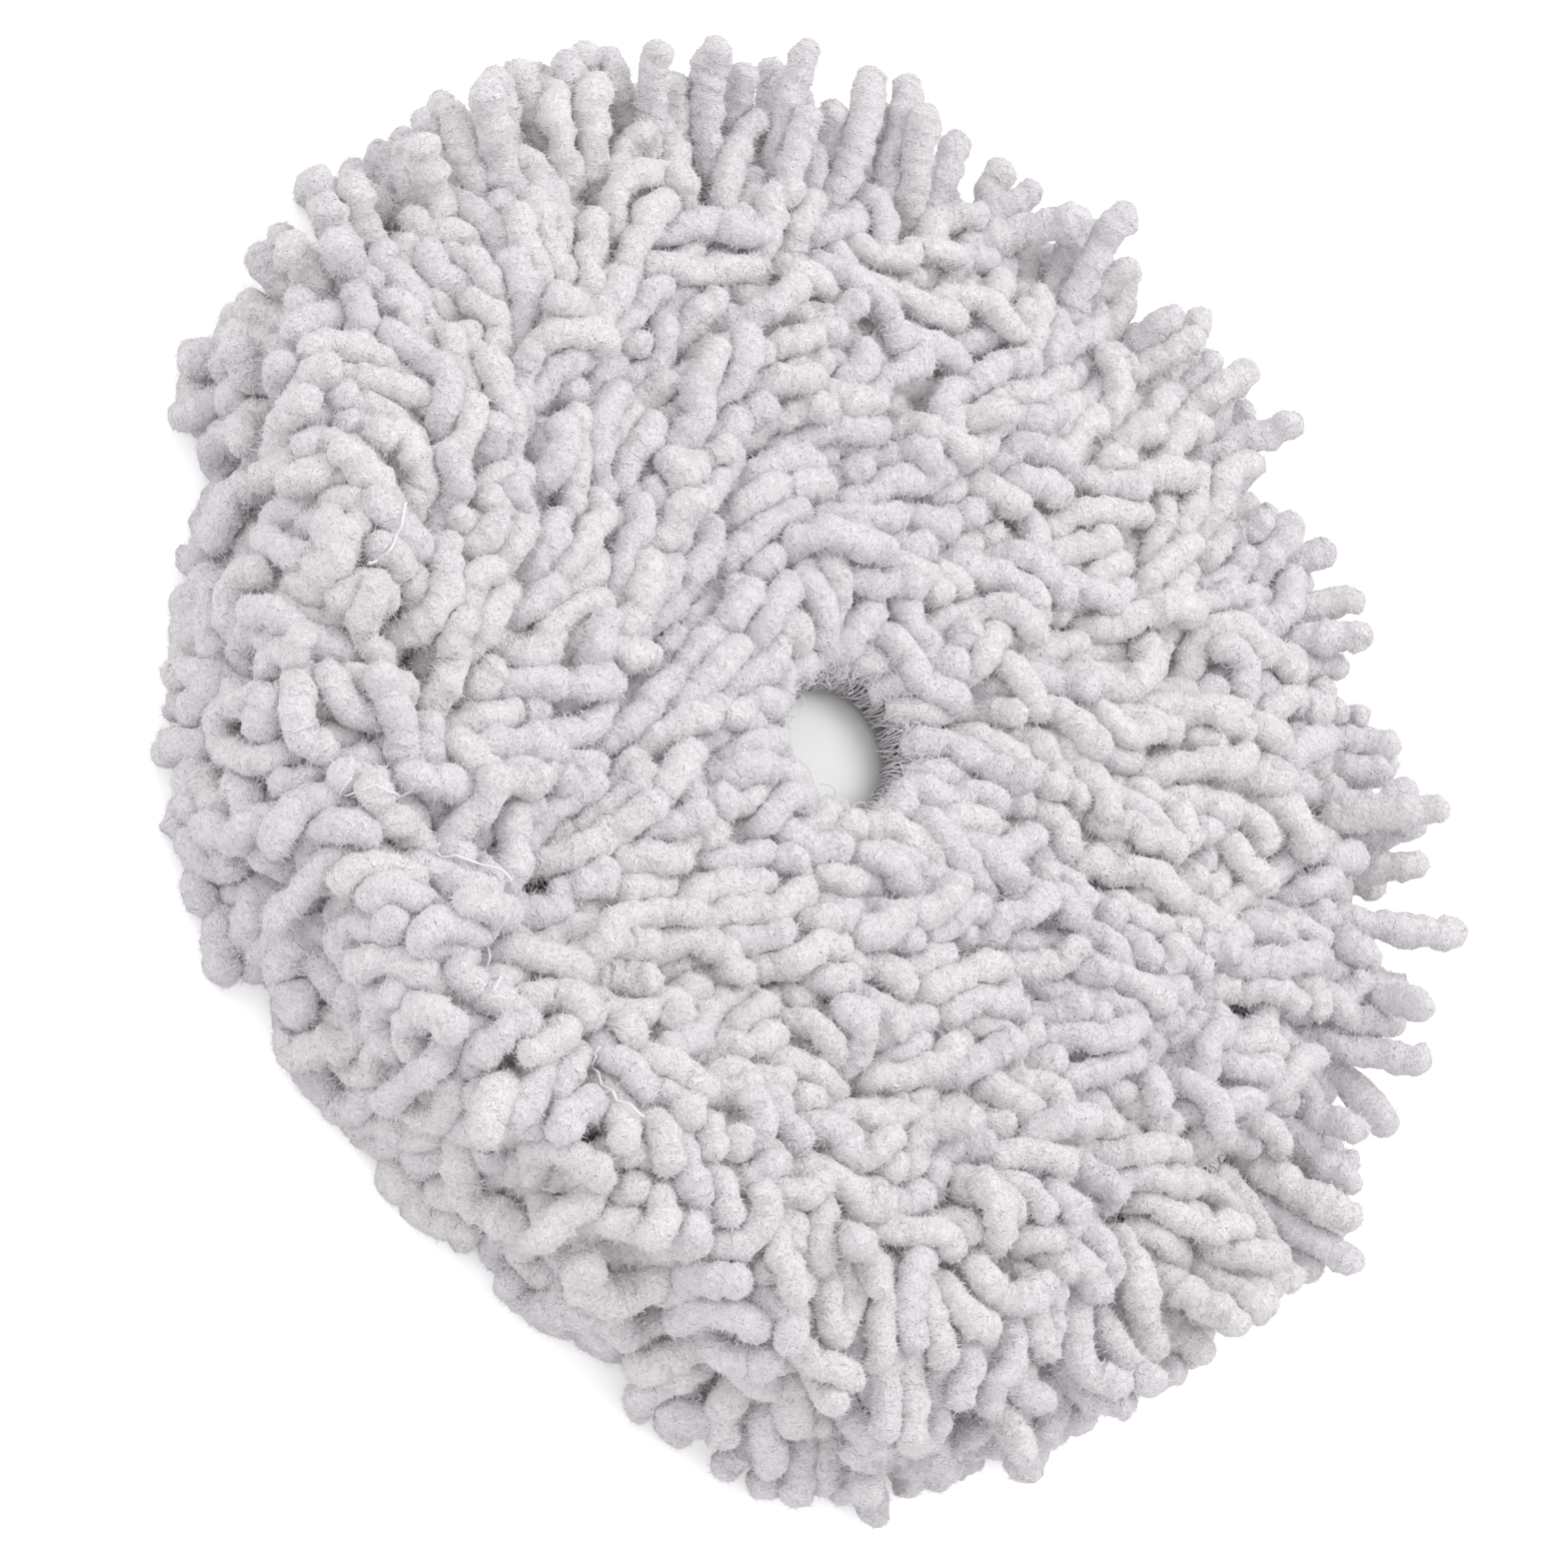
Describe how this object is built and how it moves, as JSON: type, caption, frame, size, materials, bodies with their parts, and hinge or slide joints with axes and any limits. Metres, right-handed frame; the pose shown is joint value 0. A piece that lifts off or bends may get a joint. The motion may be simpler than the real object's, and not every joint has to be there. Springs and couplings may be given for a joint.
{
  "type": "chenille wash wheel",
  "caption": "Round wash and polish wheel: a moulded head plate with a threaded hub under a pull-over cover of thick chenille pile with an overlocked centre hole.",
  "frame": {"origin": "middle of the hub's back face, on the spindle's axis, where the spindle's shoulder seats", "axes": "+Z along the spindle's axis, out of the pile face; the part lies on its back on z = 0"},
  "size_m": [0.2282, 0.2206, 0.042],
  "materials": {
    "chenille_pile": "matt short microfibre pile, pale lilac grey",
    "knit_ground": "matt warp-knit mesh",
    "sewing_thread": "spun polyester thread",
    "hem_tape": "plain woven polyester tape",
    "elastic": "woven elastic",
    "cushion_foam": "open-cell foam",
    "plate_plastic": "moulded polypropylene, satin",
    "insert_steel": "turned and zinc plated"
  },
  "bodies": {
    "root": {"head_plate": "plate_plastic", "spindle_insert": "insert_steel", "foam_cushion": "cushion_foam", "face_ground": "knit_ground", "skirt_ground": "knit_ground", "hole_overlock": "sewing_thread", "rim_seam": "sewing_thread", "hem_channel": "hem_tape", "elastic_band": "elastic", "face_pile_1": "chenille_pile", "face_pile_2": "chenille_pile", "face_pile_3": "chenille_pile", "face_pile_4": "chenille_pile", "face_pile_5": "chenille_pile", "face_pile_6": "chenille_pile", "face_pile_7": "chenille_pile", "face_pile_8": "chenille_pile", "skirt_pile_1": "chenille_pile", "skirt_pile_2": "chenille_pile", "skirt_pile_3": "chenille_pile", "skirt_pile_4": "chenille_pile", "skirt_pile_5": "chenille_pile", "skirt_pile_6": "chenille_pile", "skirt_pile_7": "chenille_pile", "skirt_pile_8": "chenille_pile"}
  },
  "joints": []
}
